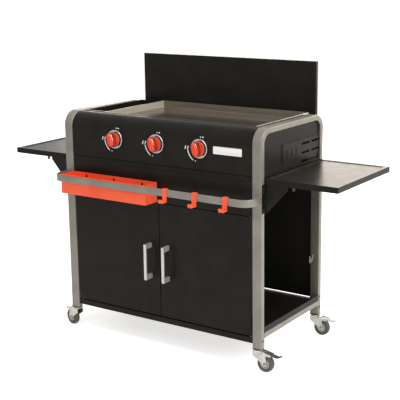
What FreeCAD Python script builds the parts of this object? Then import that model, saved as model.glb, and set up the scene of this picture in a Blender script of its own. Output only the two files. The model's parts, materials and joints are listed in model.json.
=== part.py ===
"""Flat top gas barbecue on a four-caster cabinet cart, built as separate pieces.

Sizes are millimetres. +X is to the right of someone who cooks at it, +Y is away from them and +Z is up.
The origin is on the floor below the middle of the whole barbecue.
"""
import FreeCAD, Part
import os

import Sketcher

from FreeCAD import Placement, Rotation, Vector

SIZES = {
    # side frames, two upside-down U tubes
    "cart_width": 940,
    "cart_depth": 476,
    "frame_top": 923,
    "leg_base": 88,
    "tube_wide": 40,
    "tube_deep": 22,
    "tube_wall": 1.5,
    "corner_radius": 60,
    # cross members
    "rail_tube": 20,
    "side_rail_rise": 2,
    "plinth_rise": 16,
    "plinth_tall": 22,
    "front_set_back": 4,
    # sheet metal
    "sheet": 1.5,
    "flange": 16,
    # control panel
    "panel_tall": 115,
    "panel_inset": 2,
    "panel_lip": 4,
    "panel_return": 18,
    "knob_drop": 32,
    "knob_pitch": 202,
    "stem_hole": 9,
    # cabinet
    "apron_tall": 131,
    "apron_ledge": 26,
    "back_gap": 3,
    "shelf_lip": 24,
    "shelf_front_gap": 4,
    "shelf_tongue": 10,
    "tongue_inset": 30,
    # doors
    "door_edge_gap": 6,
    "door_centre_gap": 3,
    "door_head_gap": 3,
    "door_foot_gap": 5,
    "door_deep": 18,
    "hinge_edge": 8,
    "hinge_pin": 3,
    "pin_reach": 6,
    "handle_from_centre": 43,
    "handle_rise": 153,
    "handle_tall": 146,
    "handle_wide": 12,
    "handle_bar": 8,
    "handle_reach": 34,
    "handle_foot": 20,
    "catch_wide": 50,
    "catch_tall": 14,
    "catch_gap": 0.5,
    # firebox, griddle and grease tray
    "firebox_front": 75,
    "firebox_tall": 142,
    "firebox_back_gap": 6,
    "grease_bay": 120,
    "griddle_end_gap": 20,
    "griddle_front_gap": 2,
    "griddle_back_gap": 10,
    "griddle_base": 4,
    "griddle_rim": 3,
    "griddle_tall": 32,
    "spout_wide": 60,
    "spout_tall": 10,
    "tray_side_gap": 8,
    "tray_below_top": 2,
    "tray_deep": 53,
    "tray_wall": 1.2,
    "tray_lip": 8,
    # gas parts
    "burner_radius": 19,
    "burner_wall": 1.2,
    "neck_radius": 11,
    "neck_length": 48,
    "port_radius": 1.5,
    "port_pitch": 30,
    "manifold_side": 18,
    "manifold_drop": 26,
    "manifold_set_back": 29,
    "manifold_over": 60,
    "inlet_radius": 7,
    "inlet_bore": 4,
    "inlet_long": 36,
    "inlet_inset": 10,
    "elbow_side": 18,
    "elbow_drop": 100,
    "valve_wide": 22,
    "valve_tall": 34,
    "valve_deep": 28,
    "jet_radius": 4,
    "stem_radius": 4,
    "stem_grip": 20,
    "push_travel": 4,
    "igniter_radius": 3,
    "igniter_length": 70,
    "igniter_offset": 30,
    # knobs
    "knob_radius": 30,
    "knob_disc": 11,
    "knob_grip_tall": 28,
    "knob_grip_wide": 20,
    "knob_gap": 1,
    "knob_round": 3,
    "knob_lean": 16,
    "bezel_rim": 4,
    "bezel_gap": 3,
    "bezel_deep": 10,
    "bezel_floor": 1.2,
    # side panels with vents
    "vent_panel_inset": 8,
    "vent_panel_gap": 2,
    "vent_panel_lip": 6,
    "emboss_proud": 2.5,
    "emboss_long": 292,
    "emboss_rise": 28,
    "emboss_tall": 71,
    "vent_long": 61,
    "vent_tall": 8.5,
    "vent_row_pitch": 35,
    "vent_column_pitch": 78,
    "vent_rise": 10,
    "vent_end_gap": 4.5,
    "dot_radius": 4,
    "dot_pitch": 35,
    "dot_row_pitch": 11.5,
    "dot_rise": 56,
    "dot_inset": 34,
    # lid
    "lid_tall": 220,
    "lid_below_pivot": 5,
    "lid_set_back": 13,
    "lid_end_gap": 0.5,
    "lid_pivot_drop": 14,
    "lid_pivot_inset": 5,
    "lid_arm": 8,
    "lid_pin": 3,
    # side shelves
    "side_shelf_long": 298,
    "side_shelf_inset": 20,
    "side_shelf_drop": 181,
    "side_shelf_thick": 22,
    "side_shelf_border": 18,
    "side_shelf_dish": 2,
    "gusset_long": 97,
    "gusset_tall": 108,
    "gusset_thick": 2,
    "gusset_toe": 10,
    "screw_radius": 4,
    "screw_thick": 2.5,
    "screw_edge": 14,
    "thumb_radius": 5,
    "thumb_long": 12,
    "thumb_from_leg": 119,
    # front rail, tool tray and hooks
    "rail_reach": 87,
    "rail_thick": 8,
    "rail_rise": 53,
    "rail_tall": 28,
    "rail_bend": 45,
    "tool_tray_tall": 77,
    "tool_tray_gap": 2,
    "keyhole_radius": 5,
    "keyhole_slot": 2.5,
    "keyhole_drop": 16,
    "hook_wide": 20,
    "hook_thick": 3,
    "hook_slack": 0.3,
    "hook_end_gap": 62,
    "hook_pitch": 135,
    "hook_tray_gap": 100,
    "hook_long": 48,
    "hook_foot": 26,
    "hook_lip": 14,
    "hook_tail": 18,
    # casters
    "plug_flange": 4,
    "plug_deep": 30,
    "swivel_gap": 0.5,
    "stem_long": 24,
    "caster_stem": 5,
    "race_radius": 18,
    "race_thick": 3,
    "fork_plate": 2,
    "fork_gap": 26,
    "fork_nose": 17,
    "fork_boss": 10,
    "fender_reach": 60,
    "fender_drop": 5,
    "fender_tall": 7,
    "caster_trail": 33,
    "wheel_radius": 34,
    "tyre_wide": 21,
    "tyre_round": 5,
    "hub_radius": 19,
    "hub_wide": 24,
    "axle_radius": 4,
    "axle_head": 6.5,
    "axle_head_thick": 2,
    "pedal_wide": 22,
    "pedal_thick": 2.5,
    "pedal_long": 100,
    "pedal_fall": 8,
    "pedal_pivot": 20,
    "pedal_pivot_drop": 4,
    "pedal_pin": 2.5,
    "pedal_tip": 8,
    "pedal_rise": 6,
    "shoe_gap": 2,
    # fits
    "pin_clearance": 0.1,
    "slip_clearance": 0.3,
}

CASTER_TURN = {  # the way each wheel trails, in degrees from +X
    "front_left": 168,
    "front_right": 2,
    "rear_left": 10,
    "rear_right": 1,
}
BURNERS = ("left", "middle", "right")
PORTS = 9
VENT_ROWS = 3
DOT_COLUMNS = 3
HOOKS = 3
KEYHOLES = 3

doc = FreeCAD.newDocument("flat_top_barbecue")
sheet = doc.addObject("Spreadsheet::Sheet", "Sheet")
NODES = {}


class Size:
    """A length that carries its value and the spreadsheet formula that gives it."""

    def __init__(self, value, formula):
        self.value = value
        self.formula = formula

    def __add__(self, other):
        other = size_of(other)
        return Size(self.value + other.value, f"({self.formula} + {other.formula})")

    def __sub__(self, other):
        other = size_of(other)
        return Size(self.value - other.value, f"({self.formula} - {other.formula})")

    def __mul__(self, number):
        return Size(self.value * number, f"({self.formula} * {number})")

    def __truediv__(self, number):
        return Size(self.value / number, f"({self.formula} / {number})")

    def __neg__(self):
        return Size(-self.value, f"(0 - {self.formula})")

    def __rsub__(self, other):
        return size_of(other) - self

    __radd__ = __add__
    __rmul__ = __mul__


class Sheet:
    """Gives each spreadsheet cell by its alias."""

    def __getattr__(self, alias):
        return Size(SIZES[alias], f"Sheet.{alias}")


def size_of(number):
    return number if isinstance(number, Size) else Size(number, str(number))


def fill_sheet():
    for row, (alias, value) in enumerate(SIZES.items(), start=1):
        sheet.set(f"A{row}", alias)
        sheet.set(f"B{row}", str(value))
        sheet.setAlias(f"B{row}", alias)
    doc.recompute()


def move(thing, x, y, z):
    for axis, place in zip("xyz", (x, y, z)):
        thing.setExpression(f"Placement.Base.{axis}", size_of(place).formula)
    return thing


def box(x, y, z):
    """A block between a low and a high plane on each axis."""
    block = doc.addObject("Part::Box", "block")
    for side, (low, high) in zip(("Length", "Width", "Height"), (x, y, z)):
        block.setExpression(side, (size_of(high) - low).formula)
    return move(block, x[0], y[0], z[0])


TURN_TO = {
    "x": Rotation(Vector(0, 1, 0), 90),
    "y": Rotation(Vector(1, 0, 0), -90),
    "z": Rotation(),
}


def rod(axis, centre, radius, span):
    """A round bar along an axis. centre is its place on the two other axes."""
    bar = doc.addObject("Part::Cylinder", "rod")
    bar.Placement = Placement(Vector(), TURN_TO[axis])
    bar.setExpression("Radius", size_of(radius).formula)
    bar.setExpression("Height", (size_of(span[1]) - span[0]).formula)
    spot = list(centre)
    spot.insert("xyz".index(axis), span[0])
    return move(bar, *spot)


def fuse(*pieces):
    if len(pieces) == 1:
        return pieces[0]
    joined = doc.addObject("Part::MultiFuse", "joined")
    joined.Shapes = list(pieces)
    joined.Refine = True
    return joined


def cut(base, *tools):
    rest = doc.addObject("Part::Cut", "rest")
    rest.Base = base
    rest.Tool = fuse(*tools)
    rest.Refine = True
    return rest


def common(*pieces):
    shared = doc.addObject("Part::MultiCommon", "shared")
    shared.Shapes = list(pieces)
    shared.Refine = True
    return shared


def group(*pieces):
    """Separate solids that share one node."""
    together = doc.addObject("Part::Compound", "together")
    together.Links = list(pieces)
    return together


def node(label, shape):
    shape.Label = label
    NODES[label] = shape
    return shape


def on_side(sign, low, high):
    """An X span on the right side, or its mirror image on the left."""
    return (size_of(low), size_of(high)) if sign > 0 else (-size_of(high), -size_of(low))


def around(centre, wide):
    return (size_of(centre) - wide / 2, size_of(centre) + wide / 2)


def bend(x, centre, outer, thick, ahead, above):
    """A quarter turn of sheet about an axis along X. ahead and above say which quarter."""
    y, z = centre
    ring = cut(rod("x", centre, outer, x), rod("x", centre, outer - thick, x))
    y_span = (y, y + outer) if ahead > 0 else (y - outer, y)
    z_span = (z, z + outer) if above > 0 else (z - outer, z)
    return common(ring, box(x, y_span, z_span))


def plate(outline, span):
    """A plate cut to an outline in X and Z, as thick as its span along Y."""
    body = doc.addObject("PartDesign::Body", "plate")
    plane = next(o for o in body.Origin.OriginFeatures if o.Role == "XZ_Plane")
    sketch = body.newObject("Sketcher::SketchObject", "outline")
    sketch.AttachmentSupport = (plane, "")
    sketch.MapMode = "FlatFace"
    corners = [(size_of(u), size_of(v)) for u, v in outline]
    count = len(corners)
    for i in range(count):
        start = corners[i]
        end = corners[(i + 1) % count]
        sketch.addGeometry(
            Part.LineSegment(
                Vector(start[0].value, start[1].value, 0), Vector(end[0].value, end[1].value, 0)
            )
        )
    for i in range(count):
        sketch.addConstraint(Sketcher.Constraint("Coincident", i, 2, (i + 1) % count, 1))
    for i, (u, v) in enumerate(corners):
        for kind, place in (("DistanceX", u), ("DistanceY", v)):
            row = sketch.addConstraint(Sketcher.Constraint(kind, -1, 1, i, 1, place.value))
            sketch.setExpression(f"Constraints[{row}]", place.formula)
    pad = body.newObject("PartDesign::Pad", "pad")
    pad.Profile = sketch
    pad.setExpression("Length", (size_of(span[1]) - span[0]).formula)
    return move(body, 0, span[1], 0)


def turned(shape, angle, x, y):
    """Turns a shape about a vertical axis through the origin, then moves that axis to x, y."""
    shape.Placement = Placement(Vector(), Rotation(Vector(0, 0, 1), angle))
    return move(shape, x, y, 0)


P = Sheet()
fill_sheet()

# places that many pieces share
HALF = P.cart_width / 2
INNER = HALF - P.tube_wide
FRONT_REACH = P.rail_reach + P.hook_slack + P.hook_thick + P.hook_foot
REAR_REACH = P.lid_set_back + P.flange
MIDDLE = (FRONT_REACH - REAR_REACH) / 2
FRONT = MIDDLE - P.cart_depth / 2
BACK = MIDDLE + P.cart_depth / 2
FACE = FRONT + P.front_set_back
FULL_WIDTH = (-INNER, INNER)
BEND_Z = P.frame_top - P.corner_radius
BEND_FRONT = (FRONT + P.corner_radius, BEND_Z)
BEND_BACK = (BACK - P.corner_radius, BEND_Z)
PLINTH_BASE = P.leg_base + P.plinth_rise
PLINTH_TOP = PLINTH_BASE + P.plinth_tall
SIDE_RAIL_BASE = PLINTH_TOP + P.side_rail_rise
FLOOR = (SIDE_RAIL_BASE + P.rail_tube, SIDE_RAIL_BASE + P.rail_tube + P.sheet)
LEG_GAP = (FRONT + P.tube_deep, BACK - P.tube_deep)
PANEL_BASE = BEND_Z - P.panel_tall
CROSSBAR_BASE = PANEL_BASE - P.rail_tube
APRON_BASE = CROSSBAR_BASE - P.apron_tall
KNOB_Z = BEND_Z - P.knob_drop
KNOB_X = {"left": -P.knob_pitch, "middle": size_of(0), "right": P.knob_pitch}
PANEL_FACE = FRONT + P.panel_inset
PANEL_TOP = P.frame_top - P.panel_inset
PANEL_REAR = BEND_FRONT[0] + P.panel_lip
FIREBOX_FRONT = FRONT + P.firebox_front
FIREBOX_BACK = BACK - P.firebox_back_gap
FIREBOX_TOP = P.frame_top - P.griddle_tall
FIREBOX_BASE = FIREBOX_TOP - P.firebox_tall
HINGE_X = INNER - P.door_edge_gap - P.hinge_edge
HINGE_Y = FACE + P.door_deep / 2
DOOR_TOP = APRON_BASE - P.door_head_gap
DOOR_BASE = PLINTH_TOP + P.door_foot_gap
HANDLE_BASE = DOOR_BASE + P.handle_rise
LID_FACE = BACK + P.lid_set_back
LID_PIVOT = (BACK - P.lid_pivot_inset, P.frame_top - P.lid_pivot_drop)
LID_BASE = LID_PIVOT[1] - P.lid_below_pivot
LID_TOP = LID_BASE + P.lid_tall
LID_HALF = INNER - P.sheet - P.lid_end_gap
SHELF_TOP = P.frame_top - P.side_shelf_drop
SHELF_BASE = SHELF_TOP - P.side_shelf_thick
SHELF_Y = (FRONT + P.side_shelf_inset, BACK - P.side_shelf_inset)
VENT_PANEL_BASE = SHELF_TOP + P.vent_panel_gap
RAIL_FRONT = FRONT - P.rail_reach
RAIL_BASE = APRON_BASE + P.rail_rise
RAIL_TOP = RAIL_BASE + P.rail_tall
HOOK_BASE = RAIL_TOP - P.hook_long
HOOK_X = [INNER - P.hook_end_gap - P.hook_pitch * (HOOKS - 1 - number) for number in range(HOOKS)]
FORK_TOP = P.leg_base - P.plug_flange - P.swivel_gap
FORK_ROOF = FORK_TOP - P.race_thick
FORK_UNDER = FORK_ROOF - P.fork_plate


def tube(x, y, z, along):
    """A square tube between the given planes, open at both ends of one axis."""
    inner = [(low + P.tube_wall, high - P.tube_wall) for low, high in (x, y, z)]
    open_axis = "xyz".index(along)
    inner[open_axis] = (x, y, z)[open_axis]
    return cut(box(x, y, z), box(*inner))


def u_shape(x, inset):
    """The upside-down U of a side frame, drawn in by an even amount for its hollow."""
    thick = P.tube_deep - inset * 2
    front = FRONT + inset
    back = BACK - inset
    top = P.frame_top - inset
    outer = P.corner_radius - inset
    leg_top = BEND_FRONT[1]
    return fuse(
        box(x, (front, front + thick), (P.leg_base, leg_top)),
        bend(x, BEND_FRONT, outer, thick, -1, 1),
        box(x, (BEND_FRONT[0], BEND_BACK[0]), (top - thick, top)),
        bend(x, BEND_BACK, outer, thick, 1, 1),
        box(x, (back - thick, back), (P.leg_base, leg_top)),
    )


def side_frame(sign):
    solid = u_shape(on_side(sign, INNER, HALF), size_of(0))
    hollow = u_shape(on_side(sign, INNER + P.tube_wall, HALF - P.tube_wall), P.tube_wall)
    return cut(solid, hollow)


def lower_side_rails():
    rails = []
    for sign in (-1, 1):
        x = on_side(sign, HALF - P.rail_tube, HALF)
        rails.append(tube(x, LEG_GAP, (SIDE_RAIL_BASE, FLOOR[0]), "y"))
    return group(*rails)


def crossbar(y, z):
    return tube(FULL_WIDTH, y, z, "x")


def hinge_holes(z):
    """The holes that the door pins turn in, one at each side."""
    radius = P.hinge_pin + P.pin_clearance
    return [rod("z", (HINGE_X * sign, HINGE_Y), radius, z) for sign in (-1, 1)]


def front_plinth():
    """The bar below the doors, with the two sockets that the doors' lower pins stand in."""
    bar = crossbar((FACE, FACE + P.rail_tube), (PLINTH_BASE, PLINTH_TOP))
    return cut(bar, *hinge_holes((PLINTH_TOP - P.tube_wall, PLINTH_TOP)))


def base_shelf():
    """The cabinet floor on the two side rails, with a lip at each open side and a foot on each lower bar."""
    front = FACE + P.rail_tube + P.shelf_front_gap
    rear = BACK - P.front_set_back
    foot_x = (-INNER + P.tongue_inset, INNER - P.tongue_inset)
    foot_z = (PLINTH_TOP, FLOOR[1])
    pieces = [
        box(FULL_WIDTH, (front, rear), FLOOR),
        box(foot_x, (front, front + P.sheet), foot_z),
        box(foot_x, (front - P.shelf_tongue, front + P.sheet), (PLINTH_TOP, PLINTH_TOP + P.sheet)),
        box(foot_x, (rear - P.sheet, rear), foot_z),
    ]
    for sign in (-1, 1):
        pieces.append(box(on_side(sign, INNER, HALF), LEG_GAP, FLOOR))
        pieces.append(box(on_side(sign, HALF - P.sheet, HALF), LEG_GAP, (FLOOR[0], FLOOR[0] + P.shelf_lip)))
    return fuse(*pieces)


def back_panel():
    rear = BACK - P.front_set_back
    z = (FLOOR[1] + P.back_gap, FIREBOX_BASE)
    flanges = [
        box(on_side(sign, INNER - P.sheet, INNER), (rear - P.flange, rear), z) for sign in (-1, 1)
    ]
    return fuse(box(FULL_WIDTH, (rear - P.sheet, rear), z), *flanges)


def front_apron():
    """The fixed front above the doors. Its lower ledge carries the upper hinge pins."""
    z = (APRON_BASE, CROSSBAR_BASE)
    ledge = box(FULL_WIDTH, (FACE, FACE + P.apron_ledge), (APRON_BASE, APRON_BASE + P.sheet))
    flanges = [
        box(on_side(sign, INNER - P.sheet, INNER), (FACE, FACE + P.flange), z) for sign in (-1, 1)
    ]
    holes = hinge_holes((APRON_BASE, APRON_BASE + P.sheet))
    return cut(fuse(box(FULL_WIDTH, (FACE, FACE + P.sheet), z), ledge, *flanges), *holes)


def control_panel():
    """A sheet that follows the side frames' curve from the crossbar up to the griddle."""
    rear_z = (PANEL_TOP - P.panel_return, PANEL_TOP)
    sheet_body = fuse(
        box(FULL_WIDTH, (PANEL_FACE, PANEL_FACE + P.sheet), (PANEL_BASE, BEND_FRONT[1])),
        bend(FULL_WIDTH, BEND_FRONT, P.corner_radius - P.panel_inset, P.sheet, -1, 1),
        box(FULL_WIDTH, (BEND_FRONT[0], PANEL_REAR), (PANEL_TOP - P.sheet, PANEL_TOP)),
        box(FULL_WIDTH, (PANEL_REAR - P.sheet, PANEL_REAR), rear_z),
        box(FULL_WIDTH, (PANEL_FACE, FACE + P.rail_tube), (PANEL_BASE, PANEL_BASE + P.sheet)),
    )
    front = (PANEL_FACE, PANEL_FACE + P.sheet)
    holes = [rod("y", (x, KNOB_Z), P.stem_hole, front) for x in KNOB_X.values()]
    return cut(sheet_body, *holes)


def vent_panel(sign):
    """The sheet that fills the upper part of a side frame, with an embossed field and its vents."""
    outer = HALF - P.vent_panel_inset
    x = on_side(sign, outer - P.sheet, outer)
    y = LEG_GAP
    base = VENT_PANEL_BASE
    inner_radius = P.corner_radius - P.tube_deep - P.slip_clearance
    field_x = on_side(sign, outer - P.sheet, outer + P.emboss_proud)
    field_rear = y[1] - P.slip_clearance
    field_front = field_rear - P.emboss_long
    field_base = base + P.emboss_rise
    sheet_body = fuse(
        box(x, y, (base, BEND_Z)),
        rod("x", BEND_FRONT, inner_radius, x),
        rod("x", BEND_BACK, inner_radius, x),
        box(x, (BEND_FRONT[0], BEND_BACK[0]), (BEND_Z, P.frame_top - P.tube_deep)),
        box(field_x, (field_front, field_rear), (field_base, field_base + P.emboss_tall)),
        box(on_side(sign, outer - P.sheet, outer + P.vent_panel_lip), y, (base, base + P.sheet)),
    )
    vents = []
    for row in range(VENT_ROWS):
        z = around(base + P.vent_rise + P.vent_row_pitch * row, P.vent_tall)
        for column in (0, 1):
            centre = y[1] - P.vent_end_gap - P.vent_long / 2 - P.vent_column_pitch * column
            vents.append(box(field_x, around(centre, P.vent_long), z))
    for row in range(-1, 2):
        for column in range(DOT_COLUMNS):
            dot_z = base + P.dot_rise + P.dot_row_pitch * row
            spot = (field_front + P.dot_inset + P.dot_pitch * column, dot_z)
            vents.append(rod("x", spot, P.dot_radius, field_x))
    return cut(sheet_body, *vents)


def firebox():
    """The steel box that holds the burners, with a ledge for the griddle at front and rear."""
    y = (FIREBOX_FRONT, FIREBOX_BACK)
    z = (FIREBOX_BASE, FIREBOX_TOP)
    x_inside = (-INNER + P.sheet, INNER - P.sheet)
    under_ledge = FIREBOX_TOP - P.sheet
    hollow = box(x_inside, (y[0] + P.sheet, y[1] - P.sheet), (z[0] + P.sheet, under_ledge))
    mouth = box(x_inside, (y[0] + P.flange, y[1] - P.flange), (under_ledge, FIREBOX_TOP))
    wall = (y[0], y[0] + P.sheet)
    holes = []
    for x in KNOB_X.values():
        holes.append(rod("y", (x, KNOB_Z), P.neck_radius + P.slip_clearance, wall))
        spot = (x + P.igniter_offset, KNOB_Z)
        holes.append(rod("y", spot, P.igniter_radius + P.slip_clearance, wall))
    return cut(box(FULL_WIDTH, y, z), hollow, mouth, *holes)


GRIDDLE_X = (-INNER + P.grease_bay, INNER - P.griddle_end_gap)
GRIDDLE_Y = (PANEL_REAR + P.griddle_front_gap, BACK - P.griddle_back_gap)


def griddle_plate():
    """A steel pan with an upright rim, and a spout in the left rim that drains into the grease tray."""
    x = GRIDDLE_X
    base = FIREBOX_TOP
    floor = base + P.griddle_base
    hollow = box(
        (x[0] + P.griddle_rim, x[1] - P.griddle_rim),
        (GRIDDLE_Y[0] + P.griddle_rim, GRIDDLE_Y[1] - P.griddle_rim),
        (floor, base + P.griddle_tall),
    )
    spout = box(
        (x[0], x[0] + P.griddle_rim),
        around(GRIDDLE_Y[0] + P.spout_wide, P.spout_wide),
        (floor, floor + P.spout_tall),
    )
    return cut(box(x, GRIDDLE_Y, (base, base + P.griddle_tall)), hollow, spout)


TRAY_X = (-INNER + P.tray_side_gap, GRIDDLE_X[0] - P.tray_side_gap)
TRAY_TOP = P.frame_top - P.tray_below_top
TRAY_FLOOR = TRAY_TOP - P.tray_deep


def grease_tray():
    """The open tray left of the griddle, hung on the firebox by two ledges, with a lip to lift it by."""
    ledge_wide = P.flange + P.slip_clearance
    y = (FIREBOX_FRONT + ledge_wide, FIREBOX_BACK - ledge_wide)
    z = (TRAY_FLOOR, TRAY_TOP)
    hollow = box(
        (TRAY_X[0] + P.tray_wall, TRAY_X[1] - P.tray_wall),
        (y[0] + P.tray_wall, y[1] - P.tray_wall),
        (z[0] + P.tray_wall, z[1]),
    )
    ledge = (FIREBOX_TOP, FIREBOX_TOP + P.tray_wall)
    walls = cut(box(TRAY_X, y, z), hollow)
    return fuse(
        walls,
        box(TRAY_X, (FIREBOX_FRONT, y[0] + P.tray_wall), ledge),
        box(TRAY_X, (y[1] - P.tray_wall, FIREBOX_BACK), ledge),
        box(TRAY_X, (y[0] - P.tray_lip, y[0] + P.tray_wall), (z[1] - P.tray_wall, z[1])),
    )


def burner(x):
    """A round steel burner with a narrow neck at the front and flame ports along both sides."""
    neck_front = FIREBOX_FRONT - P.neck_length / 4
    head_front = neck_front + P.neck_length
    head_back = FIREBOX_BACK - P.sheet
    centre = (x, KNOB_Z)
    solid = fuse(
        rod("y", centre, P.neck_radius, (neck_front, head_front)),
        rod("y", centre, P.burner_radius, (head_front, head_back)),
    )
    hollow = fuse(
        rod("y", centre, P.neck_radius - P.burner_wall, (neck_front, head_front + P.burner_wall)),
        rod(
            "y",
            centre,
            P.burner_radius - P.burner_wall,
            (head_front + P.burner_wall, head_back - P.burner_wall),
        ),
    )
    ports = [
        rod(
            "x",
            (head_front + P.port_pitch * (i + 1), KNOB_Z + P.burner_radius / 2),
            P.port_radius,
            around(x, P.burner_radius * 2),
        )
        for i in range(PORTS)
    ]
    return cut(solid, hollow, *ports)


MANIFOLD_TOP = KNOB_Z - P.manifold_drop + P.manifold_side / 2
MANIFOLD_Y = (FRONT + P.manifold_set_back, FRONT + P.manifold_set_back + P.manifold_side)
MANIFOLD_BASE = MANIFOLD_TOP - P.manifold_side
INLET_X = (-INNER + P.inlet_inset, -INNER + P.inlet_inset + P.inlet_long)
INLET_SPOT = (FRONT + P.manifold_set_back + P.manifold_side / 2, MANIFOLD_BASE - P.elbow_drop)


def gas_manifold():
    """The square gas pipe below the valves, with struts to the firebox.

    Its left end drops to an elbow, whose hose tail points out of the cabinet's open left side.
    """
    elbow_x = (INLET_X[1], INLET_X[1] + P.elbow_side)
    pipe = box((elbow_x[0], P.knob_pitch + P.manifold_over), MANIFOLD_Y, (MANIFOLD_BASE, MANIFOLD_TOP))
    elbow_base = INLET_SPOT[1] - P.elbow_side / 2
    drop = box(elbow_x, around(INLET_SPOT[0], P.elbow_side), (elbow_base, MANIFOLD_BASE))
    struts = []
    for sign in (-1, 1):
        strut_x = around(P.knob_pitch / 2 * sign, P.manifold_side)
        strut_z = (MANIFOLD_BASE, MANIFOLD_BASE + P.sheet)
        struts.append(box(strut_x, (MANIFOLD_Y[1], FIREBOX_FRONT), strut_z))
    tail = rod("x", INLET_SPOT, P.inlet_radius, INLET_X)
    bore = rod("x", INLET_SPOT, P.inlet_bore, (INLET_X[0], INLET_X[1] + P.elbow_side / 2))
    return cut(fuse(pipe, drop, tail, *struts), bore)


VALVE_Y = (FACE + P.rail_tube, FACE + P.rail_tube + P.valve_deep)


def valve(x):
    """A brass tap on the manifold, with a socket for its stem in front and a jet into the burner behind."""
    body = box(around(x, P.valve_wide), VALVE_Y, (MANIFOLD_TOP, MANIFOLD_TOP + P.valve_tall))
    centre = (x, KNOB_Z)
    jet = rod("y", centre, P.jet_radius, (VALVE_Y[1], FIREBOX_FRONT - P.neck_length / 8))
    socket = rod("y", centre, P.stem_radius + P.pin_clearance, (VALVE_Y[0], VALVE_Y[0] + P.push_travel * 3))
    return cut(fuse(body, jet), socket)


KNOB_BACK = PANEL_FACE - P.bezel_floor - P.push_travel - P.knob_gap


def valve_stem(x):
    return rod("y", (x, KNOB_Z), P.stem_radius, (KNOB_BACK - P.stem_grip, VALVE_Y[0] + P.push_travel))


def igniter(x):
    spot = (x + P.igniter_offset, KNOB_Z)
    return rod("y", spot, P.igniter_radius, around(FIREBOX_FRONT + P.igniter_length / 4, P.igniter_length))


def bezel(x):
    """A shallow chrome cup that the knob's base stands in."""
    front = PANEL_FACE - P.bezel_deep
    floor = PANEL_FACE - P.bezel_floor
    centre = (x, KNOB_Z)
    inner = P.knob_radius + P.bezel_gap
    cup = rod("y", centre, inner + P.bezel_rim, (front, PANEL_FACE))
    hollow = rod("y", centre, inner, (front, floor))
    hole = rod("y", centre, P.stem_hole, (floor, PANEL_FACE))
    return cut(cup, hollow, hole)


def round_edges(base, radius, chosen):
    """Rounds the edges of a shape that chosen() picks."""
    doc.recompute()
    rounded = doc.addObject("Part::Fillet", "rounded")
    rounded.Base = base
    picked = [i for i, edge in enumerate(base.Shape.Edges, start=1) if chosen(edge)]
    rounded.Edges = [(i, radius.value, radius.value) for i in picked]
    return rounded


def knob(x):
    """A round knob with a raised finger grip, made about its own axis and then leant as it stands."""
    face = -P.knob_disc
    top = face - P.knob_grip_tall
    radius = P.knob_radius
    disc = rod("y", (0, 0), radius, (face, size_of(0)))
    disc = round_edges(
        disc, P.knob_round, lambda edge: is_ring(edge, radius.value) and edge.CenterOfMass.y < face.value / 2
    )
    grip = common(
        box(around(0, P.knob_grip_wide), (top, face), (-radius, radius)),
        rod("y", (0, 0), radius - P.knob_round, (top, face)),
    )
    bore = rod("y", (0, 0), P.stem_radius + P.pin_clearance, (-P.stem_grip - P.slip_clearance, size_of(0)))
    shape = cut(fuse(disc, grip), bore)
    shape.Placement = Placement(Vector(), Rotation(Vector(0, 1, 0), -P.knob_lean.value))
    return move(shape, x, KNOB_BACK, KNOB_Z)


def is_ring(edge, radius):
    curve = edge.Curve
    return isinstance(curve, Part.Circle) and abs(curve.Radius - radius) < 1e-6


def lid():
    """The rear cover: a flanged sheet on two arms that swing about the pins of the lid hinges."""
    z = (LID_BASE, LID_TOP)
    rear = LID_FACE + P.flange
    x = (-LID_HALF, LID_HALF)
    pieces = [
        box(x, (LID_FACE, LID_FACE + P.sheet), z),
        box(x, (LID_FACE, rear), (LID_TOP - P.sheet, LID_TOP)),
    ]
    holes = []
    for sign in (-1, 1):
        end = on_side(sign, LID_HALF - P.sheet, LID_HALF)
        pivot_y, pivot_z = LID_PIVOT
        pieces.append(box(end, (LID_FACE, rear), z))
        pieces.append(box(end, (pivot_y, LID_FACE), around(pivot_z, P.lid_arm)))
        pieces.append(rod("x", LID_PIVOT, P.lid_arm / 2, end))
        holes.append(rod("x", LID_PIVOT, P.lid_pin + P.pin_clearance, end))
    return cut(fuse(*pieces), *holes)


def lid_hinges():
    """A plate on the inner face of each rear frame corner, with the pin that the lid turns on."""
    hinges = []
    pin_end = LID_HALF - P.sheet - P.lid_end_gap
    for sign in (-1, 1):
        thick = on_side(sign, INNER - P.sheet, INNER)
        y = (BEND_BACK[0], LID_PIVOT[0])
        hinges.append(
            fuse(
                box(thick, y, around(LID_PIVOT[1], P.lid_arm)),
                rod("x", LID_PIVOT, P.lid_arm / 2, thick),
                rod("x", LID_PIVOT, P.lid_pin, on_side(sign, pin_end, INNER)),
            )
        )
    return group(*hinges)


def side_shelf(sign):
    """A folded steel shelf with a shallow dish in its top and a skirt all round."""
    x = (HALF, HALF + P.side_shelf_long)
    y = SHELF_Y
    border = P.side_shelf_border
    dish = (SHELF_TOP - P.side_shelf_dish, SHELF_TOP)
    under = (SHELF_BASE, SHELF_TOP - P.side_shelf_dish - P.sheet)
    block = box(on_side(sign, *x), y, (SHELF_BASE, SHELF_TOP))
    recess = box(on_side(sign, x[0] + border, x[1] - border), (y[0] + border, y[1] - border), dish)
    hollow = box(on_side(sign, x[0] + P.sheet, x[1] - P.sheet), (y[0] + P.sheet, y[1] - P.sheet), under)
    return cut(block, recess, hollow)


def gusset_spans():
    """Where the front and rear gusset plates stand: under the shelf's skirt."""
    front, rear = SHELF_Y
    return ((front, front + P.gusset_thick), (rear - P.gusset_thick, rear))


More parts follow.
